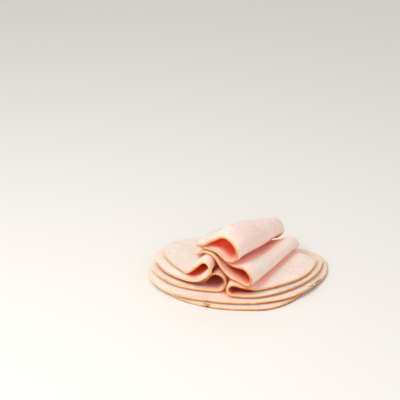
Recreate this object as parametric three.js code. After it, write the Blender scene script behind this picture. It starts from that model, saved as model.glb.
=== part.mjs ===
// A pile of seven thin slices of cooked turkey breast.
// Two slices lie flat and five are folded over once, each on what lies below it.
// Sizes are in millimetres. +Z is up, +X is to the right, +Y leads away from the viewer,
// and the pile rests on the plane z = 0 with the middle of its plan at the origin.
import * as THREE from "three";
import { mergeVertices } from "three/addons/utils/BufferGeometryUtils.js";

// How thick a slice is, and the air left between two slices that touch
const THICKNESS = 2.8;
const AIR = 0.7;
const PITCH = THICKNESS + AIR;

// Middle of the pile's plan, in the axes that the slices are placed in
const PLAN_MIDDLE = new THREE.Vector2(0.06, -5.76);

// A slice hangs between its supports, sagging by SAG a step over this many steps
const SAG = 0.03;
const HANG_STEPS = 400;

// Square grid that holds the height of what is already on the pile
const CELL = 2;
const WEST = -124;
const SOUTH = -104;
const COLUMNS = 125;
const ROWS = 111;

// A crease rounds over this far along the slice, and its return curve is mostly wider than
// its loop
const EASE = 1.5;
const RETURN_BEND = 1.2;
const BLEND = 0.8;
const LOOP_FOOT = 0.5;

// Quads along the edges of a slice's mesh
const FLAT_ACROSS = 20;
const UNDER_ACROSS = 7;
const LOOP_ACROSS = 16;
const OVER_ACROSS = 7;
const QUADS_ALONG = 16;
const FINE = 4;

// Every slice, from the bottom of the pile up.
// A flat slice has its middle at "at". A folded one has the front end of its crease there,
// and "turn" is the angle in degrees from +Y of a crease that runs to the right as it goes back.
// "reach" is how far the slice extends from its widest line: for a flat slice to the left, the
// right, the front and the back; for a folded one under the fold, over it, and along the crease
// to the front and the back. "widest" is that line's place on the over side of the crease.
// "lean" shifts the outline along the crease at full reach. "loop" is the crease's radius and
// "landing" how far from it the upper leaf comes down, both at the front and the back end.
// "corner" is 2 for an oval outline and more for a squarer one, at the front and at the back.
// "swell" is how much wider the loop is halfway along the crease. "bend" is the return curve's
// radius in loops, and "tuck" how far the far end is set back.
const SLICES = [
  {
    name: "bottom_slice",
    at: [10.3, -5.3],
    reach: [93, 60, 66, 52],
    tint: "#ecd2c0",
  },
  {
    name: "wide_slice",
    at: [15.9, 10.4],
    reach: [107.7, 77.3, 74, 46.9],
    lean: 11.3,
    tint: "#efd6c6",
  },
  {
    name: "left_fold_low",
    opens: "left",
    at: [-13.9, -48],
    turn: 8,
    reach: [65, 98, 45, 50],
    widest: -7.5,
    lean: -1.2,
    loop: [9, 3.2],
    landing: [16.5, 12.5],
    bend: 0.55,
    tuck: 8,
    liesOn: ["bottom_slice", "wide_slice"],
    tint: "#edd3c3",
  },
  {
    name: "left_fold_top",
    opens: "left",
    at: [-28.6, -46.5],
    turn: 20,
    reach: [80, 69.5, 50, 50],
    widest: 10,
    lean: -2.1,
    loop: [8.5, 3.2],
    landing: [26, 16],
    tint: "#f1dacb",
  },
  {
    name: "right_fold",
    opens: "right",
    at: [-15.5, -55.8],
    turn: 10,
    reach: [78, 95.7, 88, 24],
    widest: -4.2,
    lean: -4.5,
    loop: [5.8, 3.5],
    landing: [25, 18],
    liesOn: ["bottom_slice", "wide_slice"],
    tint: "#eed5c5",
  },
  {
    name: "front_roll",
    opens: "left",
    at: [9.7, -60.2],
    turn: 31.3,
    reach: [64, 109.4, 47, 63],
    widest: -9,
    lean: 2,
    loop: [8.2, 6],
    landing: [28, 22],
    corner: [2.3, 2],
    tint: "#f0d8ca",
  },
  {
    name: "top_roll",
    opens: "left",
    at: [-3.2, -48.2],
    turn: 30,
    reach: [42, 78, 23, 86],
    widest: 9.5,
    lean: 0,
    loop: [11.7, 10.2],
    swell: 2.6,
    landing: [37, 36],
    corner: [4.8, 1.75],
    calm: 60,
    tint: "#f2dccf",
  },
];

const mix = THREE.MathUtils.lerp;
const clamp = THREE.MathUtils.clamp;

// A height for every point of the plan grid, read between the points as a smooth surface
class Ground {
  constructor(heights = new Float64Array(COLUMNS * ROWS)) {
    this.heights = heights;
  }

  at(column, row) {
    return this.heights[clamp(row, 0, ROWS - 1) * COLUMNS + clamp(column, 0, COLUMNS - 1)];
  }

  // A new ground whose every point is worked out from this one's
  remade(rule) {
    const heights = new Float64Array(COLUMNS * ROWS);
    for (let row = 0; row < ROWS; row += 1) {
      for (let column = 0; column < COLUMNS; column += 1) {
        heights[row * COLUMNS + column] = rule(column, row);
      }
    }
    return new Ground(heights);
  }

  raise(point) {
    const column = Math.round((point.x - WEST) / CELL);
    const row = Math.round((point.y - SOUTH) / CELL);
    const index = clamp(row, 0, ROWS - 1) * COLUMNS + clamp(column, 0, COLUMNS - 1);
    this.heights[index] = Math.max(this.heights[index], point.z);
  }

  neighbours(column, row) {
    return [
      this.at(column - 1, row),
      this.at(column + 1, row),
      this.at(column, row - 1),
      this.at(column, row + 1),
    ];
  }

  average(column, row) {
    const [west, east, south, north] = this.neighbours(column, row);
    return (west + east + south + north) / 4;
  }

  averaged(times) {
    let ground = this;
    for (let step = 0; step < times; step += 1) {
      const last = ground;
      ground = last.remade((column, row) => last.average(column, row));
    }
    return ground;
  }

  // The surface that a slice takes when it is laid over this ground
  draped() {
    const base = this.remade((column, row) =>
      Math.max(this.at(column, row), ...this.neighbours(column, row)),
    );
    let hung = base;
    for (let step = 0; step < HANG_STEPS; step += 1) {
      const last = hung;
      hung = last.remade((column, row) =>
        Math.max(base.at(column, row), last.average(column, row) - SAG),
      );
    }
    return hung.remade((column, row) => (hung.at(column, row) + hung.average(column, row)) / 2);
  }

  // Height and slope at a plan point, by quadratic B-splines
  read(x, y) {
    const alongX = (x - WEST) / CELL;
    const alongY = (y - SOUTH) / CELL;
    const column = clamp(Math.round(alongX), 1, COLUMNS - 2);
    const row = clamp(Math.round(alongY), 1, ROWS - 2);
    const u = alongX - column;
    const v = alongY - row;
    const weightX = [0.5 * (0.5 - u) ** 2, 0.75 - u * u, 0.5 * (0.5 + u) ** 2];
    const weightY = [0.5 * (0.5 - v) ** 2, 0.75 - v * v, 0.5 * (0.5 + v) ** 2];
    const slopeX = [u - 0.5, -2 * u, u + 0.5];
    const slopeY = [v - 0.5, -2 * v, v + 0.5];
    const found = { z: 0, dx: 0, dy: 0 };
    for (let j = 0; j < 3; j += 1) {
      for (let i = 0; i < 3; i += 1) {
        const height = this.heights[(row + j - 1) * COLUMNS + column + i - 1];
        found.z += height * weightX[i] * weightY[j];
        found.dx += (height * slopeX[i] * weightY[j]) / CELL;
        found.dy += (height * weightX[i] * slopeY[j]) / CELL;
      }
    }
    return found;
  }
}

// Section of a fold: a round loop, a straight run down and a return bend that lands level.
// The angle of the run is found by halving, so that the upper leaf lands at "landing".
function foldSection(radius, landing, bend) {
  let low = 0.02;
  let high = 1.5;
  let angle = 0;
  let run = 0;
  for (let step = 0; step < 30; step += 1) {
    angle = (low + high) / 2;
    const drop = radius * (1 + Math.cos(angle)) - bend * (1 - Math.cos(angle)) - PITCH;
    run = drop / Math.sin(angle);
    const end = (radius + bend) * Math.sin(angle) + run * Math.cos(angle);
    if (end > landing) low = angle;
    else high = angle;
  }
  run = Math.max(run, 0);
  const loopLength = radius * (Math.PI + angle);
  const bendLength = bend * angle;
  return { radius, bend, angle, run, loopLength, bendLength, length: loopLength + run + bendLength };
}

// Distance from the crease and height over the lower leaf, at a distance along the slice
function foldPoint(fold, along) {
  if (along < 0) return { out: -along, up: 0 };
  const turned = Math.min(along, fold.loopLength) / fold.radius;
  const run = clamp(along - fold.loopLength, 0, fold.run);
  const bent = clamp(along - fold.loopLength - fold.run, 0, fold.bendLength) / fold.bend;
  const past = Math.max(along - fold.length, 0);
  const { radius, bend, angle } = fold;
  const out = -radius * Math.sin(turned) + run * Math.cos(angle)
    + bend * (Math.sin(angle) - Math.sin(angle - bent)) + past;
  const up = radius * (1 - Math.cos(turned)) - run * Math.sin(angle)
    - bend * (Math.cos(angle - bent) - Math.cos(angle));
  return { out, up };
}

// The fold's section at a place along the crease: 0 is the front end and 1 the back end
function foldAt(slice, back) {
  const swelling = (slice.swell ?? 0) * 4 * back * (1 - back);
  const radius = mix(slice.loop[0], slice.loop[1], back) + swelling;
  const landing = mix(slice.landing[0], slice.landing[1], back);
  return foldSection(radius, landing, (slice.bend ?? RETURN_BEND) * radius);
}

// The slice's own axes in plan: away from the crease, along the crease, and where they meet
function planAxes(slice) {
  if (!slice.opens) {
    return {
      origin: new THREE.Vector2(...slice.at),
      out: new THREE.Vector2(1, 0),
      along: new THREE.Vector2(0, 1),
    };
  }
  const turn = THREE.MathUtils.degToRad(slice.turn);
  const side = slice.opens === "left" ? -1 : 1;
  const out = new THREE.Vector2(side * Math.cos(turn), -side * Math.sin(turn));
  const along = new THREE.Vector2(Math.sin(turn), Math.cos(turn));
  const [under, over, front] = slice.reach;
  const offset = -slice.widest / (slice.widest > 0 ? under : over);
  const exponent = slice.corner?.[0] ?? 2;
  const fullness = (1 - Math.abs(offset) ** exponent) ** (1 / exponent);
  const creaseFront = slice.lean * offset - front * fullness;
  const origin = new THREE.Vector2(...slice.at)
    .addScaledVector(out, slice.loop[0] + THICKNESS / 2)
    .addScaledVector(along, -creaseFront);
  return { origin, out, along };
}

// Small waves that make an outline uneven, different for every slice
function unevenness(name, angle) {
  let start = 0;
  for (const letter of name) start += letter.charCodeAt(0);
  return 1 + 0.008 * Math.sin(3 * angle + start) + 0.006 * Math.sin(5 * angle + 2.1 * start)
    + 0.004 * Math.sin(9 * angle + 0.7 * start);
}

// A point of the unit disc, taken to its place on the slice laid out flat
function laidOut(slice, x, y) {
  const angle = Math.atan2(y, x);
  const exponent = (y < 0 ? slice.corner?.[0] : slice.corner?.[1]) ?? 2;
  const squared = Math.abs(Math.cos(angle)) ** exponent + Math.abs(Math.sin(angle)) ** exponent;
  const outline = unevenness(slice.name, angle) / squared ** (1 / exponent);
  const stretch = 1 + (outline - 1) * Math.min(Math.hypot(x, y), 1) ** 2;
  const [low, high, front, back] = slice.reach;
  const across = x * stretch;
  const shift = (slice.lean ?? 0) * across + (slice.tuck ?? 0) * Math.max(across, 0) ** 2;
  return {
    across: (slice.widest ?? 0) + (x < 0 ? low : high) * across,
    along: shift + (y < 0 ? front : back) * y * stretch,
  };
}

// A mesh row and column, both -1 to 1, taken to the flat slice. In a folded slice the columns
// are shared out between the lower leaf, the fold and the upper leaf.
function flatPoint(slice, band, part, v) {
  const width = Math.sqrt(1 - (v * v) / 2);
  const back = (v + 1) / 2;
  let x = mix(-1, 1, part) * width;
  if (slice.opens) {
    const [under, over] = slice.reach;
    const nearEnd = slice.widest - under * width;
    const farEnd = slice.widest + over * width;
    const folded = Math.min(foldAt(slice, back).length, 0.85 * farEnd);
    const across = [
      mix(nearEnd, 0, part),
      mix(0, folded, part),
      mix(folded, farEnd, part),
    ][band];
    const fromWidest = across - slice.widest;
    x = fromWidest / (fromWidest < 0 ? under : over);
  }
  const u = clamp(x / width, -1, 1);
  return { ...laidOut(slice, x, v * Math.sqrt(1 - (u * u) / 2)), back };
}

// Middle of the slice's thickness before its crease is rounded over
function hardPoint(slice, grounds, flat) {
  const { origin, out, along } = slice.axes;
  const fold = slice.opens ? foldAt(slice, flat.back) : null;
  const lifted = fold ? foldPoint(fold, flat.across) : { out: flat.across, up: 0 };
  const place = (distance) => origin.clone()
    .addScaledVector(out, distance)
    .addScaledVector(along, flat.along);
  const here = place(lifted.out);
  const below = grounds.draped.read(here.x, here.y);
  const slope = Math.hypot(1, below.dx, below.dy);
  const foot = place(fold ? Math.max(lifted.out, -LOOP_FOOT * fold.radius) : lifted.out);
  const footing = grounds.draped.read(foot.x, foot.y);
  const calm = grounds.calm.read(foot.x, foot.y);
  const calmSlope = Math.hypot(1, calm.dx, calm.dy);
  const share = THREE.MathUtils.smoothstep(lifted.up / PITCH, 0, 1);
  const free = mix(footing.z, calm.z, share) + calmSlope * lifted.up;
  const resting = below.z + slope * clamp(lifted.up, 0, PITCH);
  const level = (free + resting + Math.hypot(free - resting, BLEND) - BLEND) / 2;
  const lift = mix(slope, calmSlope, share) * (THICKNESS / 2 + AIR);
  return new THREE.Vector3(here.x, here.y, level + lift);
}

// Middle of the slice's thickness, with folds averaged over a short way along the slice
function middlePoint(slice, grounds, flat) {
  if (!slice.opens) return hardPoint(slice, grounds, flat);
  const point = new THREE.Vector3();
  [1, 4, 6, 4, 1].forEach((weight, index) => {
    const across = flat.across + (index - 2) * EASE;
    point.addScaledVector(hardPoint(slice, grounds, { ...flat, across }), weight / 16);
  });
  return point;
}

// The two faces' points, half the thickness to either side of the middle
function facePoints(slice, grounds, flat) {
  const step = 0.3;
  const shifted = (across, along) => middlePoint(slice, grounds, {
    across: flat.across + across,
    along: flat.along + along,
    back: flat.back,
  });
  const middle = shifted(0, 0);
  const normal = shifted(step, 0).sub(shifted(-step, 0))
    .cross(shifted(0, step).sub(shifted(0, -step)))
    .setLength(THICKNESS / 2);
  return [middle.clone().add(normal), middle.clone().sub(normal)];
}

// Columns of a slice's mesh as [band, part of the band]
function meshColumns(slice, finer) {
  const bands = slice.opens ? [UNDER_ACROSS, LOOP_ACROSS, OVER_ACROSS] : [FLAT_ACROSS];
  const columns = [];
  bands.forEach((quads, band) => {
    for (let step = 0; step < quads * finer; step += 1) columns.push([band, step / (quads * finer)]);
  });
  columns.push([bands.length - 1, 1]);
  return columns;
}

// Both faces of a slice as a grid of points, each face[row][column]
function sliceFaces(slice, grounds, finer) {
  const columns = meshColumns(slice, finer);
  const faces = [[], []];
  for (let row = 0; row <= QUADS_ALONG * finer; row += 1) {
    const v = mix(-1, 1, row / (QUADS_ALONG * finer));
    const pairs = columns.map(([band, part]) =>
      facePoints(slice, grounds, flatPoint(slice, band, part, v)),
    );
    faces.forEach((face, side) => face.push(pairs.map((pair) => pair[side])));
  }
  return faces;
}

// A closed solid from the two faces and a rim between them
function sliceGeometry([upper, lower]) {
  const rows = upper.length - 1;
  const columns = upper[0].length - 1;
  const corners = [];
  const triangle = (...points) => points.forEach(({ x, y, z }) => corners.push(x, y, z));
  for (let j = 0; j < rows; j += 1) {
    for (let i = 0; i < columns; i += 1) {
      const rising = (2 * i < columns) === (2 * j < rows);
      for (const [face, flipped] of [[upper, false], [lower, true]]) {
        const quad = [face[j][i], face[j][i + 1], face[j + 1][i + 1], face[j + 1][i]];
        if (flipped) quad.reverse();
        const start = rising === flipped ? 1 : 0;
        const turned = [...quad.slice(start), ...quad.slice(0, start)];
        triangle(turned[0], turned[1], turned[2]);
        triangle(turned[0], turned[2], turned[3]);
      }
    }
  }
  const outline = [];
  for (let i = 0; i < columns; i += 1) outline.push([0, i]);
  for (let j = 0; j < rows; j += 1) outline.push([j, columns]);
  for (let i = columns; i > 0; i -= 1) outline.push([rows, i]);
  for (let j = rows; j > 0; j -= 1) outline.push([j, 0]);
  outline.forEach(([row, column], index) => {
    const [nextRow, nextColumn] = outline[(index + 1) % outline.length];
    const top = upper[row][column];
    const nextTop = upper[nextRow][nextColumn];
    const foot = lower[row][column];
    const nextFoot = lower[nextRow][nextColumn];
    triangle(foot, nextFoot, nextTop);
    triangle(foot, nextTop, top);
  });
  const geometry = new THREE.BufferGeometry();
  geometry.setAttribute("position", new THREE.Float32BufferAttribute(corners, 3));
  const solid = mergeVertices(geometry, 1e-5);
  solid.computeVertexNormals();
  return solid;
}

function cookedMeat(tint) {
  return new THREE.MeshStandardMaterial({ color: tint, roughness: 0.5, metalness: 0 });
}

// What a slice lies on: the drape over the slices below, and a calmer copy for raised leaves
function layGrounds(slice, laid) {
  const names = slice.liesOn ?? [...laid.keys()];
  if (names.length === 0) {
    const floor = new Ground().remade(() => -AIR);
    return { draped: floor, calm: floor };
  }
  const ground = new Ground();
  for (const name of names) {
    laid.get(name).flat(2).forEach((point) => ground.raise(point));
  }
  const draped = ground.draped();
  return { draped, calm: draped.averaged(slice.calm ?? 30) };
}

function buildPile() {
  const pile = new THREE.Group();
  const laid = new Map();
  for (const slice of SLICES) {
    const grounds = layGrounds(slice, laid);
    slice.axes = planAxes(slice);
    laid.set(slice.name, sliceFaces(slice, grounds, FINE));
    const geometry = sliceGeometry(sliceFaces(slice, grounds, 1));
    const mesh = new THREE.Mesh(geometry, cookedMeat(slice.tint));
    mesh.name = slice.name;
    pile.add(mesh);
  }
  pile.position.set(-PLAN_MIDDLE.x, -PLAN_MIDDLE.y, 0);
  return pile;
}

export default buildPile();
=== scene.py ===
# A pile of thin slices of cooked turkey breast, some flat and some folded over.
# Slices are worked out in millimetres, as they are cut and laid, and turned to metres at the end.
import math
import random

import bpy
import numpy as np
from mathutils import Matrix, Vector
from mathutils.bvhtree import BVHTree


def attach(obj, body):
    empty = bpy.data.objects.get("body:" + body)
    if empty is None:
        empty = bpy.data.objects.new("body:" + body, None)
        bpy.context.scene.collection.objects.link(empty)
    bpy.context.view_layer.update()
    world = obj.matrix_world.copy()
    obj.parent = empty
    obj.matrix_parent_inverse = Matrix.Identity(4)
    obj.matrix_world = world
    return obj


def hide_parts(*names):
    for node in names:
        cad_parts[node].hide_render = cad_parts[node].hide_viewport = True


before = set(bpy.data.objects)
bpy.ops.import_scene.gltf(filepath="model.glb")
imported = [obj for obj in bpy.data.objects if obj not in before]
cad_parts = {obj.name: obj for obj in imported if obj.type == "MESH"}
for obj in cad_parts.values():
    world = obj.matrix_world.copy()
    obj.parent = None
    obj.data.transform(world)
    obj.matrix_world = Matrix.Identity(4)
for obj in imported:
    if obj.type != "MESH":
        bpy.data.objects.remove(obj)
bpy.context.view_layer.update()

METRE = 0.001

# How thick a slice is, and the air left between two slices that touch
THICKNESS = 2.8
AIR = 0.7
PITCH = THICKNESS + AIR

# Middle of the pile's plan, in the axes that the slices are placed in
PLAN_MIDDLE = np.array([0.06, -5.76, 0.0])

# A slice hangs between its supports, sagging by SAG a step over this many steps, and the ground
# under a raised leaf is mostly averaged this often
SAG = 0.03
HANG_STEPS = 400
CALM_STEPS = 30

# Square grid that holds the height of what is already on the pile
CELL = 2.0
WEST = -124.0
SOUTH = -104.0
COLUMNS = 125
ROWS = 111

# A crease is averaged with these weights over places this far apart along the slice
EASE = 1.5
EASE_WEIGHTS = (1, 4, 6, 4, 1)

# A fold's return curve is mostly this many times as wide as its loop, and the run between them
# comes down at an angle between these two, which is found by halving this often
RETURN_BEND = 1.2
LEAST_ANGLE = 0.02
MOST_ANGLE = 1.5
HALVINGS = 30

# The heights of a leaf that stands free and one that rests are blended over BLEND, and a loop
# stands on the ground under it up to this share of its radius past the crease
BLEND = 0.8
LOOP_FOOT = 0.5

# Waves that make an outline uneven: how many there are round it, how high they are as a share
# of the outline, and how far every slice's own number shifts them
OUTLINE_WAVES = ((3, 0.008, 1), (5, 0.006, 2.1), (9, 0.004, 0.7))

# How far to either side of a point its slope is measured
SLOPE_STEP = 0.3

# Quads along the edges of the plain grid, at most how much of the way from the crease to the
# far edge is the loop's, and how many times finer a grid is used
FLAT_ACROSS = 20
UNDER_ACROSS = 7
LOOP_ACROSS = 16
OVER_ACROSS = 7
QUADS_ALONG = 16
LOOP_SHARE = 0.85
LAYING_GRID = 4
SHOWN_GRID = 7

# Grid and rays that tell how open to the light every place is, the reach of a ray in mm, and
# the distance from which on meat that a ray meets lends a place the red of its painted shade
LIGHT_GRID = 2
LIGHT_RAYS = 28
LIGHT_REACH = 45.0
RED_FROM = 0.7
RED_FULL = 3.0

# How far off the meat a ray starts, and a direction that the first axis of its rays is square to
RAY_START = 0.05
ASKEW = np.array([0.31, 0.87, 0.38])

# How red the painted shade on a fold's outer face and on a flat slice turns, as a share of how
# red it turns inside a fold
OUTER_RED_SHADE = 0.82

# Rounding of a slice's edge, squarer for a smaller fullness, and the steps round it
EDGE_ROUND = 0.75
EDGE_FULLNESS = 0.7
EDGE_STEPS = 6

# Lengths and height of the waves in the faces' relief, in the rim's and in the torn rind's, how
# much of a torn rim is gone, and how far a rim stands out at most
FACE_WAVES = (5.1, 7.3, 9.9, 14.0, 21.0, 33.0)
FACE_RELIEF = 0.07
RIM_WAVES = (2.3, 3.1, 4.7, 7.9, 13.0)
RIM_RELIEF = 0.11
TORN_WAVES = (3.7, 5.3, 8.3)
TORN_RELIEF = 0.5
TORN_LOSS = 0.35
RIM_MOST = 0.1

# Where the rind of the lowest slices is torn and ragged: along the right end, and as a nick in
# the front. A tear is whole in its middle and fades out to its reach, later for a larger fade.
TORN_PLACES = (dict(at=(80.0, -24.0), reach=20.0), dict(at=(-34.0, -63.0), reach=6.0))
TORN_SLICES = ("bottom_slice", "wide_slice")
TORN_FADE = 1.6

# The rind turns browner over this width, from the pile's left to its right
BROWNING_WIDTH = 150

# How far apart the slices lie in the material's patterns, and how far a slice's faces lie to
# either side of its rim there, so that no two look alike
PATTERN_APART = 310
PATTERN_SIDE = 15.0

# The distance to a slice's edge is taken to one in this many of the points along it. What that
# distance is on the rim itself, and what stands for the light from behind outside a fold
RIM_SKIP = 4
ON_RIM = -1.0
NO_FOLD = -1.0

# Every slice, from the bottom of the pile up.
# A flat slice has its middle at "at". A folded one has the front end of its crease there, and
# "turn" is the angle in degrees from +Y of a crease that runs to the right as it goes back.
# "reach" is how far the slice extends from its widest line: for a flat slice to the left, the
# right, the front and the back; for a folded one under the fold, over it, and along the crease
# to the front and the back. "widest" is that line's place on the over side of the crease.
# "lean" shifts the outline along the crease at full reach. "loop" is the crease's radius and
# "landing" how far from it the upper leaf comes down, both at the front and the back end.
# "corner" is 2 for an oval outline and more for a squarer one, at the front and at the back.
# "swell" is how much wider the loop is halfway along the crease. "bend" is how many times as
# wide as the loop the return curve is, and "tuck" how far the far end is set back. "lies_on"
# names what is under a slice that doesn't lie on all the lower ones, and "calm" is how often
# the ground under its raised leaf is averaged. "glow" is how strongly light is taken to come
# through the upper leaf, for the painted glow and painted shade inside the fold, and "redness"
# how red the painted shade inside the fold turns, both 1 where they aren't given.
SLICES = [
    dict(name="bottom_slice", at=(10.3, -5.3), reach=(93, 60, 66, 52)),
    dict(name="wide_slice", at=(15.9, 10.4), reach=(107.7, 77.3, 74, 46.9), lean=11.3),
    dict(name="left_fold_low", opens="left", at=(-13.9, -48), turn=8, reach=(65, 98, 45, 50),
         widest=-7.5, lean=-1.2, loop=(9, 3.2), landing=(16.5, 12.5), bend=0.55, tuck=8,
         lies_on=("bottom_slice", "wide_slice"), red_shade=0.92),
    dict(name="left_fold_top", opens="left", at=(-28.6, -46.5), turn=20, reach=(80, 69.5, 50, 50),
         widest=10, lean=-2.1, loop=(8.5, 3.2), landing=(26, 16), glow=1.3, red_shade=1.12),
    dict(name="right_fold", opens="right", at=(-15.5, -55.8), turn=10, reach=(78, 95.7, 88, 24),
         widest=-4.2, lean=-4.5, loop=(5.8, 3.5), landing=(25, 18),
         lies_on=("bottom_slice", "wide_slice"), glow=0.3, red_shade=1.15),
    dict(name="front_roll", opens="left", at=(9.7, -60.2), turn=31.3, reach=(64, 109.4, 47, 63),
         widest=-9, lean=2, loop=(8.2, 6), landing=(28, 22), corner=(2.3, 2)),
    dict(name="top_roll", opens="left", at=(-3.2, -48.2), turn=30, reach=(42, 78, 23, 86),
         widest=9.5, lean=0, loop=(11.7, 10.2), swell=2.6, landing=(37, 36), corner=(4.8, 1.75),
         calm=60),
]


def mix(low, high, share):
    """The value this share of the way from the low one to the high one"""
    return low + (high - low) * share


def smooth(share):
    """A share from 0 to 1, eased at both ends"""
    share = np.clip(share, 0, 1)
    return share * share * (3 - 2 * share)


def average(heights):
    """Every height as the mean of its four neighbours'"""
    edge = np.pad(heights, 1, mode="edge")
    return (edge[:-2, 1:-1] + edge[2:, 1:-1] + edge[1:-1, :-2] + edge[1:-1, 2:]) / 4


def widened(heights):
    """Every height as the highest of its own and its four neighbours'"""
    edge = np.pad(heights, 1, mode="edge")
    tallest = np.maximum(edge[:-2, 1:-1], edge[2:, 1:-1])
    tallest = np.maximum(tallest, np.maximum(edge[1:-1, :-2], edge[1:-1, 2:]))
    return np.maximum(heights, tallest)


def draped(heights):
    """The surface that a slice takes when it is laid over these heights"""
    base = widened(heights)
    hung = base
    for _ in range(HANG_STEPS):
        hung = np.maximum(base, average(hung) - SAG)
    return (hung + average(hung)) / 2


def read_height(heights, x, y):
    """Height and slope at plan points, by quadratic B-splines"""
    along_x = (x - WEST) / CELL
    along_y = (y - SOUTH) / CELL
    column = np.clip(np.round(along_x).astype(int), 1, COLUMNS - 2)
    row = np.clip(np.round(along_y).astype(int), 1, ROWS - 2)
    u = along_x - column
    v = along_y - row
    weight_x = [0.5 * (0.5 - u) ** 2, 0.75 - u * u, 0.5 * (0.5 + u) ** 2]
    weight_y = [0.5 * (0.5 - v) ** 2, 0.75 - v * v, 0.5 * (0.5 + v) ** 2]
    slope_x = [u - 0.5, -2 * u, u + 0.5]
    slope_y = [v - 0.5, -2 * v, v + 0.5]
    z = np.zeros_like(x)
    dx = np.zeros_like(x)
    dy = np.zeros_like(x)
    for j in range(3):
        for i in range(3):
            height = heights[row + j - 1, column + i - 1]
            z += height * weight_x[i] * weight_y[j]
            dx += height * slope_x[i] * weight_y[j] / CELL
            dy += height * weight_x[i] * slope_y[j] / CELL
    return z, dx, dy


def fold_at(piece, back):
    """The fold's section at places along the crease: 0 is the front end and 1 the back end.
    A round loop, a straight run down and a return bend that lands level at "landing"."""
    swelling = piece.get("swell", 0) * 4 * back * (1 - back)
    radius = mix(piece["loop"][0], piece["loop"][1], back) + swelling
    landing = mix(piece["landing"][0], piece["landing"][1], back)
    bend = piece.get("bend", RETURN_BEND) * radius
    low = np.full_like(radius, LEAST_ANGLE)
    high = np.full_like(radius, MOST_ANGLE)
    for _ in range(HALVINGS):
        angle = (low + high) / 2
        drop = radius * (1 + np.cos(angle)) - bend * (1 - np.cos(angle)) - PITCH
        run = drop / np.sin(angle)
        beyond = (radius + bend) * np.sin(angle) + run * np.cos(angle) > landing
        low = np.where(beyond, angle, low)
        high = np.where(beyond, high, angle)
    run = np.maximum(run, 0)
    loop_length = radius * (math.pi + angle)
    bend_length = bend * angle
    return dict(radius=radius, bend=bend, angle=angle, run=run, loop_length=loop_length,
                bend_length=bend_length, length=loop_length + run + bend_length)


def fold_point(fold, along):
    """Distance from the crease and height over the lower leaf, at distances along the slice"""
    radius, bend, angle = fold["radius"], fold["bend"], fold["angle"]
    turned = np.clip(along, 0, fold["loop_length"]) / radius
    run = np.clip(along - fold["loop_length"], 0, fold["run"])
    bent = np.clip(along - fold["loop_length"] - fold["run"], 0, fold["bend_length"]) / bend
    past = np.maximum(along - fold["length"], 0)
    out = np.maximum(-along, 0) - radius * np.sin(turned) + run * np.cos(angle)
    out += bend * (np.sin(angle) - np.sin(angle - bent)) + past
    up = radius * (1 - np.cos(turned)) - run * np.sin(angle)
    up -= bend * (np.cos(angle - bent) - np.cos(angle))
    return out, up


def plan_axes(piece):
    """The slice's own axes in plan: where they meet, away from the crease, and along it"""
    at = np.array(piece["at"], float)
    if "opens" not in piece:
        return at, np.array([1.0, 0.0]), np.array([0.0, 1.0])
    turn = math.radians(piece["turn"])
    side = -1 if piece["opens"] == "left" else 1
    out = np.array([side * math.cos(turn), -side * math.sin(turn)])
    along = np.array([math.sin(turn), math.cos(turn)])
    under, over, front = piece["reach"][:3]
    offset = -piece["widest"] / (under if piece["widest"] > 0 else over)
    exponent = piece.get("corner", (2, 2))[0]
    fullness = (1 - abs(offset) ** exponent) ** (1 / exponent)
    crease_front = piece["lean"] * offset - front * fullness
    origin = at + out * (piece["loop"][0] + THICKNESS / 2) - along * crease_front
    return origin, out, along


def unevenness(name, angle):
    """Small waves that make an outline uneven, different for every slice"""
    own_number = sum(ord(letter) for letter in name)
    outline = 1
    for count, height, shift in OUTLINE_WAVES:
        outline = outline + height * np.sin(count * angle + shift * own_number)
    return outline


def laid_out(piece, x, y):
    """Points of the unit disc, taken to their places on the slice laid out flat"""
    angle = np.arctan2(y, x)
    front_corner, back_corner = piece.get("corner", (2, 2))
    exponent = np.where(y < 0, front_corner, back_corner)
    squared = np.abs(np.cos(angle)) ** exponent + np.abs(np.sin(angle)) ** exponent
    outline = unevenness(piece["name"], angle) / squared ** (1 / exponent)
    stretch = 1 + (outline - 1) * np.minimum(np.hypot(x, y), 1) ** 2
    low, high, front, back = piece["reach"]
    across = x * stretch
    from_crease = piece.get("widest", 0) + np.where(x < 0, low, high) * across
    shift = piece.get("lean", 0) * across + piece.get("tuck", 0) * np.maximum(across, 0) ** 2
    along = shift + np.where(y < 0, front, back) * y * stretch
    return from_crease, along


def grid_columns(piece, finer):
    """Columns of a slice's grid: the band that each is in, and its place in the band"""
    bands = [UNDER_ACROSS, LOOP_ACROSS, OVER_ACROSS] if "opens" in piece else [FLAT_ACROSS]
    band = []
    part = []
    for index, quads in enumerate(bands):
        band += [index] * (quads * finer)
        part += [step / (quads * finer) for step in range(quads * finer)]
    return np.array(band + [len(bands) - 1]), np.array(part + [1.0])


def flat_grid(piece, finer):
    """The slice laid out flat: a grid of distances from its crease and along it, and of places
    between the front and the back. The square grid is drawn into a disc, then into the outline."""
    band, part = grid_columns(piece, finer)
    v = np.linspace(-1, 1, QUADS_ALONG * finer + 1)[:, None]
    width = np.sqrt(1 - v * v / 2)
    back = (v + 1) / 2
    x = mix(-1, 1, part) * width
    if "opens" in piece:
        under, over = piece["reach"][:2]
        near_end = piece["widest"] - under * width
        far_end = piece["widest"] + over * width
        folded = np.minimum(fold_at(piece, back)["length"], LOOP_SHARE * far_end)
        across = np.where(band == 0, mix(near_end, 0, part),
                          np.where(band == 1, folded * part, mix(folded, far_end, part)))
        from_widest = across - piece["widest"]
        x = from_widest / np.where(from_widest < 0, under, over)
    u = np.clip(x / width, -1, 1)
    y = v * np.sqrt(1 - u * u / 2)
    from_crease, along = laid_out(piece, x, y)
    return from_crease, along, back + 0 * from_crease


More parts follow.
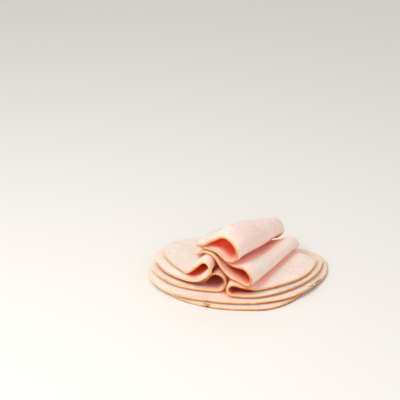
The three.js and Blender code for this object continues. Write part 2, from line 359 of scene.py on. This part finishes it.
def hard_point(piece, grounds, across, along, back):
    """Middle of the slice's thickness before its crease is rounded over"""
    origin, out_axis, along_axis = plan_axes(piece)
    hung, calm = grounds
    if "opens" in piece:
        fold = fold_at(piece, back)
        out, up = fold_point(fold, across)
        foot = np.maximum(out, -LOOP_FOOT * fold["radius"])
    else:
        out, up, foot = across, 0 * across, across
    x = origin[0] + out * out_axis[0] + along * along_axis[0]
    y = origin[1] + out * out_axis[1] + along * along_axis[1]
    foot_x = origin[0] + foot * out_axis[0] + along * along_axis[0]
    foot_y = origin[1] + foot * out_axis[1] + along * along_axis[1]
    below, dx, dy = read_height(hung, x, y)
    slope = np.sqrt(1 + dx * dx + dy * dy)
    footing, _, _ = read_height(hung, foot_x, foot_y)
    calm_height, dx, dy = read_height(calm, foot_x, foot_y)
    calm_slope = np.sqrt(1 + dx * dx + dy * dy)
    share = smooth(up / PITCH)
    free = mix(footing, calm_height, share) + calm_slope * up
    resting = below + slope * np.clip(up, 0, PITCH)
    level = (free + resting + np.hypot(free - resting, BLEND) - BLEND) / 2
    lift = mix(slope, calm_slope, share) * (THICKNESS / 2 + AIR)
    return np.stack([x, y, level + lift], -1)


def middle_point(piece, grounds, across, along, back):
    """Middle of the slice's thickness, with folds averaged over a short way along the slice"""
    if "opens" not in piece:
        return hard_point(piece, grounds, across, along, back)
    point = 0
    for step, weight in enumerate(EASE_WEIGHTS, start=-(len(EASE_WEIGHTS) // 2)):
        shifted = hard_point(piece, grounds, across + step * EASE, along, back)
        point = point + shifted * (weight / sum(EASE_WEIGHTS))
    return point


def unit(vectors):
    """The vectors, each made one long"""
    return vectors / np.linalg.norm(vectors, axis=-1, keepdims=True)


def sheet(piece, grounds, finer):
    """Middle of the slice as a grid of points, with its normals and its flat coordinates. Its
    first face lies on the side of the normals: the upper side of a flat slice, the inside of a
    fold that opens to the left, and the outside of one that opens to the right."""
    across, along, back = flat_grid(piece, finer)
    middle = middle_point(piece, grounds, across, along, back)
    over = middle_point(piece, grounds, across + SLOPE_STEP, along, back)
    over -= middle_point(piece, grounds, across - SLOPE_STEP, along, back)
    ahead = middle_point(piece, grounds, across, along + SLOPE_STEP, back)
    ahead -= middle_point(piece, grounds, across, along - SLOPE_STEP, back)
    return middle, unit(np.cross(over, ahead)), across, along


def raise_ground(heights, points):
    """Raises the heights to the points that are higher"""
    column = np.clip(np.round((points[:, 0] - WEST) / CELL).astype(int), 0, COLUMNS - 1)
    row = np.clip(np.round((points[:, 1] - SOUTH) / CELL).astype(int), 0, ROWS - 1)
    np.maximum.at(heights, (row, column), points[:, 2])


def lay_grounds(piece, laid):
    """What a slice lies on: the drape over the slices below, and a calmer copy of it"""
    names = piece.get("lies_on", tuple(laid))
    if not names:
        floor = np.full((ROWS, COLUMNS), -AIR)
        return floor, floor
    heights = np.zeros((ROWS, COLUMNS))
    for name in names:
        raise_ground(heights, laid[name])
    hung = draped(heights)
    calm = hung
    for _ in range(piece.get("calm", CALM_STEPS)):
        calm = average(calm)
    return hung, calm


def waves(across, along, seed, lengths, height):
    """Gentle relief: a sum of seeded waves that run in many directions over the flat slice"""
    draw = random.Random(seed)
    relief = 0
    for length in lengths:
        heading = draw.uniform(0, 2 * math.pi)
        start = draw.uniform(0, 2 * math.pi)
        phase = (across * math.cos(heading) + along * math.sin(heading)) * 2 * math.pi / length
        relief = relief + np.sin(phase + start)
    return relief * height / math.sqrt(len(lengths))


def outline_of(grid):
    """The values round a grid's edge, starting at its first row"""
    return np.concatenate([grid[0, :-1], grid[:-1, -1], grid[-1, :0:-1], grid[:0:-1, 0]])


def outline_numbers(rows, columns, start=0):
    """The numbers of the points round the edge of a grid that is numbered from start"""
    numbers = np.arange(rows * columns).reshape(rows, columns) + start
    return outline_of(numbers)


def face_quads(rows, columns, start, flipped=False):
    """The quads of a grid that is numbered from start"""
    numbers = np.arange(rows * columns).reshape(rows, columns) + start
    corners = [numbers[:-1, :-1], numbers[:-1, 1:], numbers[1:, 1:], numbers[1:, :-1]]
    quads = np.stack([corner.ravel() for corner in corners], -1)
    return quads[:, ::-1] if flipped else quads


def closed_quads(rows, columns, ring_count=0):
    """The quads of two faces and of the strips between them, where the points are those of the
    first face, the second face and then the rings round the edge"""
    count = rows * columns
    first = outline_numbers(rows, columns)
    second = outline_numbers(rows, columns, count)
    around = len(first)
    rings = [2 * count + index * around + np.arange(around) for index in range(ring_count)]
    strips = [first, *rings, second]
    quads = [face_quads(rows, columns, 0), face_quads(rows, columns, count, flipped=True)]
    for near, far in zip(strips[:-1], strips[1:]):
        quads.append(np.stack([near, far, np.roll(far, -1), np.roll(near, -1)], -1))
    return np.concatenate(quads)


def rim_of(middle, normal):
    """Points round the rim of a slice, and the directions that lead out of it there"""
    ring = outline_of(middle)
    ahead = np.roll(ring, -1, 0) - np.roll(ring, 1, 0)
    return ring, unit(np.cross(ahead, outline_of(normal)))


def torn(name, points):
    """How torn the rind is at these points, from 0 to 1"""
    if name not in TORN_SLICES:
        return np.zeros(len(points))
    tears = []
    for place in TORN_PLACES:
        x, y = place["at"]
        away = np.hypot(points[:, 0] - x, points[:, 1] - y)
        tears.append(smooth(TORN_FADE - TORN_FADE * away / place["reach"]))
    return np.max(tears, axis=0)


def browning(points):
    """How brown the rind is at these points, from 0 to 1"""
    return smooth(0.5 + points[:, 0] / BROWNING_WIDTH)


def edge_rings(shown, name):
    """Rings of points round the slice's edge, from its first face to its second one, and the
    directions that lead out of the slice there. A torn rim is ragged in layers."""
    middle, normal, across, along = shown
    ring, outward = rim_of(middle, normal)
    up = outline_of(normal)
    flat_place = outline_of(across), outline_of(along)
    uneven = waves(*flat_place, name, RIM_WAVES, RIM_RELIEF)
    ragged = waves(*flat_place, name + " rind", TORN_WAVES, TORN_RELIEF) - TORN_LOSS
    tear = ragged * torn(name, ring)
    rings = []
    for step in range(1, EDGE_STEPS):
        turn = math.pi * step / EDGE_STEPS
        height = math.cos(turn) * THICKNESS / 2
        inset = EDGE_ROUND * (1 - math.sin(turn) ** EDGE_FULLNESS)
        layered = tear * (0.5 + 0.5 * math.cos(3 * turn))
        bulge = np.minimum(uneven * math.sin(turn) + layered, RIM_MOST)[:, None]
        rings.append(ring - outward * (inset - bulge) + up * height)
    return rings, outward


def slice_mesh(piece, shown, light):
    """A closed mesh of a slice: two faces with a gentle relief, joined by a rounded edge"""
    middle, normal, across, along = shown
    rows, columns = middle.shape[:2]
    name = piece["name"]
    rings, outward = edge_rings(shown, name)
    faces = []
    for side in (1, -1):
        relief = waves(across, along, f"{name} {side}", FACE_WAVES, FACE_RELIEF)
        face = middle + normal * (side * THICKNESS / 2 + relief[..., None])
        points = face.reshape(-1, 3)
        points[outline_numbers(rows, columns)] = outline_of(face) - outward * EDGE_ROUND
        faces.append(points)
    points = np.concatenate([*faces, *rings])

    # No relief goes below the surface that the pile lies on
    points[:, 2] = np.maximum(points[:, 2], 0)
    placed = (points - PLAN_MIDDLE) * METRE
    mesh = bpy.data.meshes.new(name + "_meat")
    mesh.from_pydata(placed.tolist(), [], closed_quads(rows, columns, len(rings)).tolist())
    mesh.polygons.foreach_set("use_smooth", np.ones(len(mesh.polygons), bool))
    add_values(mesh, piece, shown, light, len(rings))
    mesh.update()
    return mesh


def add_values(mesh, piece, shown, light, ring_count):
    """Values that the meat's material reads: the place on the flat slice, the distance to its
    edge, how brown and how torn its rind is, how far a place faces up, how enclosed it is by
    meat, and inside a fold how open to the light the other side of the slice is"""
    middle, normal, across, along = shown
    points = middle.reshape(-1, 3)
    rim = outline_of(middle)
    rise = normal[..., 2]
    turns = np.arange(1, ring_count + 1) / (ring_count + 1) * 2

    def spread(on_faces, on_rim):
        return np.concatenate([on_faces, on_faces, np.tile(on_rim, ring_count)])

    pattern_start = PATTERN_APART * SLICES.index(piece)
    flat_x = spread(across.ravel(), outline_of(across)) + pattern_start
    flat_y = spread(along.ravel(), outline_of(along))
    counts = (len(points), len(points), len(rim) * ring_count)
    side = np.repeat((PATTERN_SIDE, -PATTERN_SIDE, 0.0), counts)
    edge = spread(distance_to_edge(across, along), np.full(len(rim), ON_RIM))
    tears = spread(torn(piece["name"], points), torn(piece["name"], rim))
    ring_rise = [outline_of(rise) * math.cos(math.pi * turn / 2) for turn in turns]
    enclosed, other_side = inner_light(piece, light, across.shape)
    put_values(mesh, "flat_place", np.stack([flat_x, flat_y, side], -1))
    put_values(mesh, "edge_distance", edge)
    put_values(mesh, "browning", spread(browning(points), browning(rim)))
    put_values(mesh, "torn", tears)
    put_values(mesh, "facing_up", np.concatenate([rise.ravel(), -rise.ravel(), *ring_rise]))
    put_values(mesh, "enclosure", round_edge(enclosed, turns))
    put_values(mesh, "other_side", round_edge(other_side, turns))


def inner_light(piece, light, shape):
    """How enclosed by meat a slice's first face, second face and edge are, and inside a fold how
    open to the light the other side of the slice is, as grids"""
    opened, enclosed = [[resized(grid, shape) for grid in grids] for grids in light]
    other_side = [np.full(shape, NO_FOLD) for _ in enclosed]
    if "opens" not in piece:
        return [grid * OUTER_RED_SHADE for grid in enclosed], other_side
    outer = 0 if piece["opens"] == "right" else 1
    inner = 1 - outer
    # Painted shade and glow: the outer face's red shade is weakened, the inner one's scaled, and
    # the inner glow follows the outer face's openness
    enclosed[outer] = enclosed[outer] * OUTER_RED_SHADE
    enclosed[inner] = enclosed[inner] * piece.get("red_shade", 1)
    other_side[inner] = opened[outer] * piece.get("glow", 1)
    other_side[2] = other_side[inner]
    return enclosed, other_side


def round_edge(grids, turns):
    """The values of the first face, the second face and the rings round the edge, in a row"""
    first, second, edge = grids
    stops = (outline_of(first), outline_of(edge), outline_of(second))
    rings = [mix(stops[int(turn)], stops[int(turn) + 1], turn - int(turn)) for turn in turns]
    return np.concatenate([first.ravel(), second.ravel(), *rings])


def put_values(mesh, name, values):
    """Gives the mesh a value, or a vector, at each of its points"""
    kind, key = ("FLOAT_VECTOR", "vector") if values.ndim == 2 else ("FLOAT", "value")
    mesh.attributes.new(name, kind, "POINT").data.foreach_set(key, values.ravel())


def resized(grid, shape):
    """A grid of values read between its points, to fill a grid of another size"""
    rows = np.linspace(0, grid.shape[0] - 1, shape[0])
    columns = np.linspace(0, grid.shape[1] - 1, shape[1])
    row = np.minimum(rows.astype(int), grid.shape[0] - 2)
    column = np.minimum(columns.astype(int), grid.shape[1] - 2)
    down = (rows - row)[:, None]
    right = (columns - column)[None, :]
    upper = mix(grid[row][:, column], grid[row][:, column + 1], right)
    lower = mix(grid[row + 1][:, column], grid[row + 1][:, column + 1], right)
    return mix(upper, lower, down)


def pile_tree(grids):
    """All the slices as one tree of faces for rays to meet"""
    points = []
    quads = []
    start = 0
    for middle, normal, _, _ in grids:
        half = normal * (THICKNESS / 2)
        faces = np.concatenate([(middle + half).reshape(-1, 3), (middle - half).reshape(-1, 3)])
        points.append(faces)
        quads.append(closed_quads(*middle.shape[:2]) + start)
        start += len(faces)
    return BVHTree.FromPolygons(np.concatenate(points).tolist(), np.concatenate(quads).tolist())


def ray_directions():
    """Directions about +Z, closer together near it, as an even surface gathers light, and each
    turned on from the last by the golden angle"""
    directions = []
    for index in range(LIGHT_RAYS):
        share = (index + 0.5) / LIGHT_RAYS
        angle = index * math.pi * (3 - math.sqrt(5))
        radius = math.sqrt(share)
        x = radius * math.cos(angle)
        y = radius * math.sin(angle)
        directions.append((x, y, math.sqrt(1 - share)))
    return np.array(directions)


def gathered(tree, points, normals):
    """How open to the light every point is, from 0 where all rays soon meet meat to 1 where
    none do, and what share of its rays meet meat that isn't right in front of it"""
    across = unit(np.cross(normals, ASKEW))
    along = np.cross(normals, across)
    starts = [Vector(point) for point in points + normals * RAY_START]
    opened = np.zeros(len(points))
    enclosed = np.zeros(len(points))
    for x, y, z in ray_directions():
        aims = across * x + along * y + normals * z
        hits = [tree.ray_cast(start, Vector(aim), LIGHT_REACH)[3]
                for start, aim in zip(starts, aims)]
        distance = np.array([LIGHT_REACH if hit is None else hit for hit in hits])
        beyond = (distance / LIGHT_REACH) ** 2
        opened += beyond
        enclosed += (1 - beyond) * smooth((distance - RED_FROM) / (RED_FULL - RED_FROM))
    return opened / LIGHT_RAYS, enclosed / LIGHT_RAYS


def light_on(tree, grid):
    """Openness and enclosure of a slice's first face, its second face and its edge, as grids"""
    middle, normal, _, _ = grid
    rows, columns = middle.shape[:2]
    half = normal * (THICKNESS / 2)
    opened = []
    enclosed = []
    for side in (1, -1):
        points = (middle + half * side).reshape(-1, 3)
        shares = gathered(tree, points, (normal * side).reshape(-1, 3))
        opened.append(shares[0].reshape(rows, columns))
        enclosed.append(shares[1].reshape(rows, columns))
    for grids, share in zip((opened, enclosed), gathered(tree, *rim_of(middle, normal))):
        edge = np.zeros(rows * columns)
        edge[outline_numbers(rows, columns)] = share
        grids.append(edge.reshape(rows, columns))
    return opened, enclosed


def distance_to_edge(across, along):
    """Distance of every grid point to the slice's outline, measured on the flat slice"""
    ring = np.stack([outline_of(across), outline_of(along)], -1)
    points = np.stack([across.ravel(), along.ravel()], -1)
    best = np.full(len(points), np.inf)
    for place in ring[::RIM_SKIP]:
        best = np.minimum(best, np.linalg.norm(points - place, axis=-1))
    best[outline_numbers(*across.shape)] = 0
    return best


def colour(shown):
    """A colour given as it looks, from 0 to 255, as the shader's linear one"""
    shares = [value / 255 for value in shown]
    return tuple(s / 12.92 if s <= 0.04045 else ((s + 0.055) / 1.055) ** 2.4 for s in shares)


class Shader:
    """Short ways to add and join a material's nodes. A colour is given as it looks, from 0 to
    255, and a pattern's scale is how many of its features there are in a millimetre."""

    def __init__(self, name):
        self.material = bpy.data.materials.new(name)
        self.material.use_nodes = True
        self.tree = self.material.node_tree
        self.tree.nodes.clear()

    def add(self, kind, **settings):
        node = self.tree.nodes.new(kind)
        for key, value in settings.items():
            setattr(node, key, value)
        return node

    def join(self, source, target):
        self.tree.links.new(source, target)

    def put(self, socket, value):
        """Gives a socket a colour, a number or what another node puts out"""
        if isinstance(value, tuple):
            socket.default_value = (*colour(value), 1.0)
        elif isinstance(value, (int, float)):
            socket.default_value = value
        else:
            self.join(value, socket)

    def attribute(self, name, output="Fac"):
        return self.add("ShaderNodeAttribute", attribute_name=name).outputs[output]

    def noise(self, place, scale, detail=3.0, rough=0.5):
        node = self.add("ShaderNodeTexNoise")
        node.inputs["Scale"].default_value = scale
        node.inputs["Detail"].default_value = detail
        node.inputs["Roughness"].default_value = rough
        self.join(place, node.inputs["Vector"])
        return node.outputs["Fac"]

    def stretched(self, place, shares):
        node = self.add("ShaderNodeVectorMath", operation="MULTIPLY")
        self.join(place, node.inputs[0])
        node.inputs[1].default_value = shares
        return node.outputs["Vector"]

    def ramp(self, value, tones):
        """The tone for a value, blended between the tones given with their places"""
        node = self.add("ShaderNodeValToRGB")
        elements = node.color_ramp.elements
        while len(elements) < len(tones):
            elements.new(0.5)
        for element, (position, tone) in zip(elements, tones):
            element.position = position
            element.color = (*colour(tone), 1.0)
        self.join(value, node.inputs["Fac"])
        return node.outputs["Color"]

    def band(self, value, start, end):
        """Share from 0 at start to 1 at end, eased"""
        node = self.add("ShaderNodeMapRange", interpolation_type="SMOOTHSTEP")
        node.inputs["From Min"].default_value = start
        node.inputs["From Max"].default_value = end
        self.join(value, node.inputs["Value"])
        return node.outputs["Result"]

    def maths(self, operation, *values):
        node = self.add("ShaderNodeMath", operation=operation)
        for socket, value in zip(node.inputs, values):
            self.put(socket, value)
        return node.outputs["Value"]

    def less(self, first, second):
        return self.maths("SUBTRACT", first, second)

    def gap(self, first, second):
        return self.maths("ABSOLUTE", self.less(first, second))

    def product(self, result, *values):
        for value in values:
            result = self.maths("MULTIPLY", result, value)
        return result

    def total(self, result, *values):
        for value in values:
            result = self.maths("ADD", result, value)
        return result

    def blend(self, share, first, second, way="MIX"):
        node = self.add("ShaderNodeMix", data_type="RGBA", blend_type=way)
        colours = [socket for socket in node.inputs if socket.type == "RGBA"]
        self.put(node.inputs["Factor"], share)
        self.put(colours[0], first)
        self.put(colours[1], second)
        return [socket for socket in node.outputs if socket.type == "RGBA"][0]


# The cut face: its two pinks, its flecks, its streaks of muscle and how their pattern is
# stretched, and its seams, which run where a stretched pattern comes close to one value
FACE_PINKS = ((0.35, (248, 218, 210)), (0.65, (251, 227, 215)))
PALE_FLECK = (255, 240, 231)
RED_FLECK = (240, 200, 190)
STREAK_STRETCH = (0.10, 0.55, 1.0)
PALE_STREAK = (255, 238, 230)
RED_STREAK = (241, 200, 189)
SEAM_STRETCH = (0.6, 1.0, 1.0)
SEAM_PLACE = 0.53
SEAM_WIDTH = 0.010
SEAM_STRENGTH = 0.22
SEAM = (228, 172, 160)


def face_colour(shader, place):
    """Pale pink meat with broad and fine mottling, streaks of muscle and a few faint seams"""
    face = shader.ramp(shader.noise(place, scale=0.035, detail=2.0), FACE_PINKS)
    flecks = shader.noise(place, scale=0.42, detail=5.0, rough=0.7)
    face = shader.blend(shader.band(flecks, 0.48, 0.78), face, PALE_FLECK)
    face = shader.blend(shader.band(flecks, 0.46, 0.26), face, RED_FLECK)
    grain = shader.stretched(place, STREAK_STRETCH)
    streaks = shader.noise(grain, scale=1.0, detail=3.0, rough=0.6)
    face = shader.blend(shader.band(streaks, 0.55, 0.85), face, PALE_STREAK)
    face = shader.blend(shader.band(streaks, 0.42, 0.2), face, RED_STREAK)
    bend = shader.noise(shader.stretched(place, SEAM_STRETCH), scale=0.02, detail=2.0)
    seam = shader.band(shader.gap(bend, SEAM_PLACE), SEAM_WIDTH, 0.0)
    return shader.blend(shader.product(seam, SEAM_STRENGTH), face, SEAM)


# The cream rim of the cut face: its colour where the rind is pale and where it is brown, how
# wide its waves are in mm, how much wider it is where the rind is torn and where it is brown,
# and its strength
CREAM = (246, 217, 178)
BROWNED_CREAM = (247, 214, 176)
CREAM_WAVES = 2.4
TORN_WIDER = 2.0
BROWNED_WIDER = 1.5
CREAM_STRENGTH = 0.9


def creamy_edge(shader, face, place, edge, browned, tear):
    """The cut face turns cream towards its edge, by an uneven width"""
    brown = shader.band(browned, 0.5, 1.0)
    uneven = shader.product(shader.noise(place, scale=0.3), CREAM_WAVES)
    wider = shader.product(tear, TORN_WIDER)
    width = shader.total(uneven, wider, shader.product(brown, BROWNED_WIDER))
    halo = shader.product(shader.band(shader.less(edge, width), 2.0, -1.2), CREAM_STRENGTH)
    return shader.blend(halo, face, shader.blend(brown, CREAM, BROWNED_CREAM))


# The rind: its tones from pale to brown, the painted shade that its underside is multiplied by
# where it faces down, its upper corner where it is pale and where it is brown, which is partly
# its cream edge and partly a painted highlight where it faces up, its spots, the cracks of torn
# rind, and how much further along the tones brown and torn rind is
RIND_TONES = (
    (0.42, (244, 212, 166)),
    (0.58, (236, 188, 132)),
    (0.76, (218, 156, 104)),
    (0.94, (200, 132, 80)),
)
RIND_UNDERSIDE_SHADE = (214, 180, 162)
RIND_CORNER_AND_HIGHLIGHT = (246, 210, 163)
BROWNED_CORNER_AND_HIGHLIGHT = (236, 198, 152)
SPOT = (164, 98, 58)
SPOT_STRENGTH = 0.5
CRACK = (140, 78, 42)
BROWNED_DARKER = 0.5
TORN_DARKER = 0.25


def rind_colour(shader, place, facing_up, browned, tear):
    """Thin brown rind with a cream upper corner that is partly a painted highlight, darker in
    painted shade where it faces down, and browner to the right of the pile
    """
    mottling = shader.noise(place, scale=0.07, detail=4.0, rough=0.6)
    darker = shader.product(browned, BROWNED_DARKER)
    tone = shader.total(mottling, darker, shader.product(tear, TORN_DARKER))
    rind = shader.ramp(tone, RIND_TONES)
    # Painted shade: the rind is darker where it faces down
    low = shader.blend(1.0, rind, RIND_UNDERSIDE_SHADE, way="MULTIPLY")
    rind = shader.blend(shader.band(facing_up, 0.1, -0.8), rind, low)
    # Painted highlight, partly the real cream edge: where the rim faces up it takes the corner
    # colour
    corner = shader.blend(browned, RIND_CORNER_AND_HIGHLIGHT, BROWNED_CORNER_AND_HIGHLIGHT)
    rind = shader.blend(shader.band(facing_up, 0.85, 0.15), corner, rind)
    spots = shader.band(shader.noise(place, scale=0.3, detail=3.0, rough=0.6), 0.62, 0.74)
    rind = shader.blend(shader.product(spots, SPOT_STRENGTH), rind, SPOT)
    cracks = shader.band(shader.noise(place, scale=0.55, detail=2.0), 0.50, 0.62)
    return shader.blend(shader.product(cracks, tear), rind, CRACK)


# The crack along a torn edge: its colour, and how far from the edge it wanders in mm
EDGE_CRACK = (170, 100, 60)
EDGE_CRACK_REACH = 4.5


def torn_edge(shader, face, place, edge, tear):
    """A broken crack of browned rind that follows a torn edge on the cut face"""
    course = shader.product(shader.noise(place, scale=0.11, detail=2.0), EDGE_CRACK_REACH)
    unbroken = shader.band(shader.noise(place, scale=0.16, detail=1.0), 0.33, 0.45)
    crack = shader.product(shader.band(shader.gap(edge, course), 1.1, 0.3), unbroken, tear)
    return shader.blend(crack, face, EDGE_CRACK)


# Painted shade: what the meat is multiplied by, the more it is enclosed by meat and where it is
# closely covered. How much more enclosed a place counts where it faces down close over a slice,
# and how much less where it faces up. How much weaker the red of covered meat is outside a fold.
DEPTH_SHADE_TONES = (
    (0.30, (255, 255, 255)),
    (0.50, (253, 226, 217)),
    (0.68, (244, 182, 163)),
    (0.83, (228, 140, 116)),
    (0.95, (212, 116, 90)),
)
COVERED_SHADE_TONE = (214, 84, 84)
UNDER_DEEPER = 0.22
LIT_SHALLOWER = 0.02
OUTSIDE_WEAKER = 0.55


def inner_shade(shader, enclosure, facing_up, other_side, outside, off_edge):
    """Painted shade between slices: the meat is made redder with depth, and a darker red where
    it faces no light, close to other meat and with no light behind it"""
    downward = shader.band(facing_up, 0.5, -0.5)
    near = shader.band(enclosure, 0.45, 0.75)
    under = shader.product(downward, near, UNDER_DEEPER, off_edge)
    lit = shader.product(shader.band(facing_up, 0.2, 0.9), LIT_SHALLOWER)
    depth = shader.less(shader.total(enclosure, under), lit)
    unlit_behind = shader.band(other_side, 0.5, 0.1)
    turned_away = shader.band(facing_up, 0.6, -0.1)
    close = shader.band(enclosure, 0.35, 0.65)
    strength = shader.less(1.0, shader.product(outside, OUTSIDE_WEAKER))
    covered = shader.product(unlit_behind, turned_away, close, strength, off_edge)
    return shader.blend(covered, shader.ramp(depth, DEPTH_SHADE_TONES), COVERED_SHADE_TONE)


# A painted glow, given off by the meat itself, that stands for the weak light of thin meat lit
# from behind, inside a fold and in the creases between slices: its colour and its strength
PAINTED_FOLD_GLOW = (255, 116, 84)
FOLD_STRENGTH = 0.32
PAINTED_CREASE_GLOW = (255, 188, 172)
CREASE_STRENGTH = 0.2


def inner_glow(shader, enclosure, facing_up, other_side, outside, off_edge):
    """Strength of the painted glow that stands for light through the meat: inside a fold that is
    lit from outside, and in the creases between slices, but not where they lie close together"""
    lit_behind = shader.band(other_side, 0.35, 1.1)
    inside = shader.band(enclosure, 0.4, 0.7)
    through = shader.product(lit_behind, off_edge, inside, FOLD_STRENGTH)
    creased = shader.band(enclosure, 0.15, 0.55)
    open_still = shader.band(enclosure, 0.8, 0.62)
    upward = shader.band(facing_up, 0.1, 0.6)
    crease = shader.product(creased, open_still, upward, outside, off_edge, CREASE_STRENGTH)
    return shader.total(through, crease)


def meat_material():
    """Moist cooked meat that light enters a little way, with a thin browned rind, painted red
    shade in hollows and creases, and a painted glow inside folds and creases
    """
    shader = Shader("cooked_meat")
    place = shader.attribute("flat_place", "Vector")
    edge = shader.attribute("edge_distance")
    facing_up = shader.attribute("facing_up")
    enclosure = shader.attribute("enclosure")
    other_side = shader.attribute("other_side")
    browned = shader.attribute("browning")
    tear = shader.attribute("torn")
    off_edge = shader.band(edge, -0.2, 0.3)
    outside = shader.band(other_side, -0.2, -0.8)

    face = face_colour(shader, place)
    face = creamy_edge(shader, face, place, edge, browned, tear)
    face = torn_edge(shader, face, place, edge, tear)
    rind = rind_colour(shader, place, facing_up, browned, tear)
    skin = shader.blend(shader.band(edge, 0.3, -0.7), face, rind)
    # Painted shade: the colour is multiplied by a red shade that deepens with enclosure
    shade = inner_shade(shader, enclosure, facing_up, other_side, outside, off_edge)
    skin = shader.blend(1.0, skin, shade, way="MULTIPLY")
    # Painted glow: the meat gives off light inside folds and in creases
    glow = inner_glow(shader, enclosure, facing_up, other_side, outside, off_edge)
    bump = shader.add("ShaderNodeBump")
    bump.inputs["Strength"].default_value = 0.35
    bump.inputs["Distance"].default_value = 0.0004
    grain = shader.noise(place, scale=1.1, detail=4.0, rough=0.6)
    shader.join(grain, bump.inputs["Height"])

    surface = shader.add("ShaderNodeBsdfPrincipled")
    surface.inputs["Roughness"].default_value = 0.5
    surface.inputs["IOR"].default_value = 1.4
    surface.inputs["Specular IOR Level"].default_value = 0.35
    surface.inputs["Subsurface Weight"].default_value = 1.0
    surface.inputs["Subsurface Radius"].default_value = (1.0, 0.45, 0.3)
    surface.inputs["Subsurface Scale"].default_value = 0.004
    # The painted glow's colour and strength go into the emission
    shader.join(shader.blend(outside, PAINTED_FOLD_GLOW, PAINTED_CREASE_GLOW), surface.inputs["Emission Color"])
    shader.join(glow, surface.inputs["Emission Strength"])
    shader.join(skin, surface.inputs["Base Color"])
    shader.join(bump.outputs["Normal"], surface.inputs["Normal"])
    output = shader.add("ShaderNodeOutputMaterial")
    shader.join(surface.outputs["BSDF"], output.inputs["Surface"])
    return shader.material


# The floor, and how far it reaches to every side in metres
FLOOR_COLOUR = (240, 238, 234)
FLOOR_REACH = 3.0


def floor_material():
    shader = Shader("pale_floor")
    surface = shader.add("ShaderNodeBsdfPrincipled")
    shader.put(surface.inputs["Base Color"], FLOOR_COLOUR)
    surface.inputs["Roughness"].default_value = 0.7
    output = shader.add("ShaderNodeOutputMaterial")
    shader.join(surface.outputs["BSDF"], output.inputs["Surface"])
    return shader.material


def add_object(name, data, place=(0, 0, 0)):
    """Puts a mesh, a light or a camera into the scene"""
    item = bpy.data.objects.new(name, data)
    item.location = place
    bpy.context.scene.collection.objects.link(item)
    return item


def build_pile():
    """Lays every slice on the ones below it, and makes its mesh when the whole pile lies"""
    meat = meat_material()
    laid = {}
    shown = {}
    coarse = {}
    for piece in SLICES:
        grounds = lay_grounds(piece, laid)
        middle, normal = sheet(piece, grounds, LAYING_GRID)[:2]
        half = normal * (THICKNESS / 2)
        laid[piece["name"]] = np.concatenate([middle + half, middle - half]).reshape(-1, 3)
        shown[piece["name"]] = sheet(piece, grounds, SHOWN_GRID)
        coarse[piece["name"]] = sheet(piece, grounds, LIGHT_GRID)
    tree = pile_tree(coarse.values())
    for piece in SLICES:
        name = piece["name"]
        mesh = slice_mesh(piece, shown[name], light_on(tree, coarse[name]))
        mesh.materials.append(meat)
        meat_piece = add_object(name + "_meat", mesh)
        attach(meat_piece, "root")
        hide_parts(name)


def build_floor():
    mesh = bpy.data.meshes.new("floor")
    signs = ((-1, -1), (1, -1), (1, 1), (-1, 1))
    corners = [(x * FLOOR_REACH, y * FLOOR_REACH, 0) for x, y in signs]
    mesh.from_pydata(corners, [], [(0, 1, 2, 3)])
    mesh.materials.append(floor_material())
    floor = add_object("floor", mesh)


# Where the photograph was taken from, in the axes that the slices are placed in
CAMERA_PLACE = np.array([-40.32, -972.13, 540.0])
CAMERA_PITCH = 25.0
FOCAL_LENGTH = 96.57
SENSOR_WIDTH = 36.0


def place_camera():
    """The photograph's camera, level from side to side"""
    camera = bpy.data.cameras.new("camera")
    camera.sensor_width = SENSOR_WIDTH
    camera.lens = FOCAL_LENGTH
    camera.clip_start = 0.05
    camera.clip_end = 20.0
    item = add_object("camera", camera, tuple((CAMERA_PLACE - PLAN_MIDDLE) * METRE))
    item.rotation_euler = (math.radians(90 - CAMERA_PITCH), 0, 0)
    bpy.context.scene.camera = item


def add_area(name, place, aim, size, power, tint=(1, 1, 1)):
    """A square light that faces its aim"""
    light = bpy.data.lights.new(name, "AREA")
    light.size = size
    light.energy = power
    light.color = tint
    item = add_object(name, light, place)
    direction = Vector(aim) - Vector(place)
    item.rotation_euler = direction.to_track_quat("-Z", "Y").to_euler()


def light_scene():
    """Even light all round, a soft key from the upper left and a weak fill from the front"""
    world = bpy.data.worlds.new("studio")
    world.use_nodes = True
    background = world.node_tree.nodes["Background"]
    background.inputs["Color"].default_value = (1.0, 0.985, 0.965, 1.0)
    background.inputs["Strength"].default_value = 0.65
    bpy.context.scene.world = world
    add_area("key", place=(-0.50, -0.40, 1.0), aim=(0, 0, 0.02), size=0.55, power=7.1,
             tint=(1.0, 0.97, 0.94))
    add_area("fill", place=(0.1, -1.0, 0.35), aim=(0, 0, 0.03), size=0.7, power=1.6)
    bpy.context.scene.view_settings.view_transform = "Standard"


build_pile()
build_floor()
place_camera()
light_scene()
